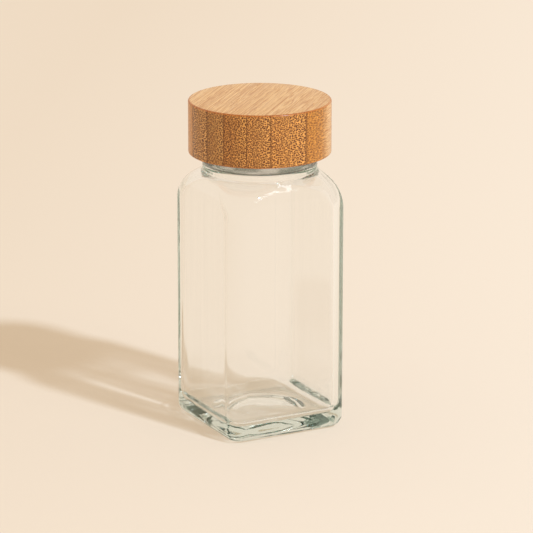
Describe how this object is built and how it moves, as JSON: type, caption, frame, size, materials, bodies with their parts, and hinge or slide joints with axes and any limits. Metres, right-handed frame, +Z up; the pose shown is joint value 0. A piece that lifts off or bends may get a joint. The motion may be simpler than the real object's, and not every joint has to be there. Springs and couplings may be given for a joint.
{
  "type": "spice jar",
  "caption": "Square glass spice jar with a rounded shoulder, a press-in shaker and a turned bamboo screw lid with a plastic insert and seal.",
  "frame": {"origin": "centre of the ring that the jar stands on, on the axis of the neck and lid", "axes": "+Z up along the axis of the neck; the jar's flat faces look along X and Y"},
  "size_m": [0.048, 0.048, 0.1124],
  "materials": {
    "glass": "clear soda-lime glass, faintly green at its edges",
    "shaker_plastic": "natural polyethylene, milky",
    "seal_foam": "soft white foam",
    "insert_plastic": "moulded white polypropylene",
    "bamboo": "fine-sanded carbonised bamboo with a thin oil finish"
  },
  "bodies": {
    "jar": {"glass_jar": "glass"},
    "shaker": {"shaker_insert": "shaker_plastic"},
    "seal": {"seal_disc": "seal_foam"},
    "lid": {"thread_insert": "insert_plastic", "lid_strip_1": "bamboo", "lid_strip_2": "bamboo", "lid_strip_3": "bamboo", "lid_strip_4": "bamboo", "lid_strip_5": "bamboo", "lid_strip_6": "bamboo", "lid_strip_7": "bamboo"}
  },
  "joints": [
    {"name": "lid_lift", "type": "slide", "parent": "jar", "child": "seal", "axis": [0, 0, 1], "range_m": [0, 0.01698]},
    {"name": "lid_turn", "type": "hinge", "parent": "seal", "child": "lid", "pos_m": [0, 0, 0.1034], "axis": [0, 0, 1], "range_deg": [0, 1440]},
    {"name": "shaker_pull", "type": "slide", "parent": "jar", "child": "shaker", "axis": [0, 0, 1], "range_m": [0, 0.00885]}
  ],
  "couplings": [
    {"joint": "lid_lift", "follows": "lid_turn", "m_per_rad": 0.00067376},
    {"joint": "shaker_pull", "follows": "lid_turn", "m_per_rad": 0.00035014}
  ]
}
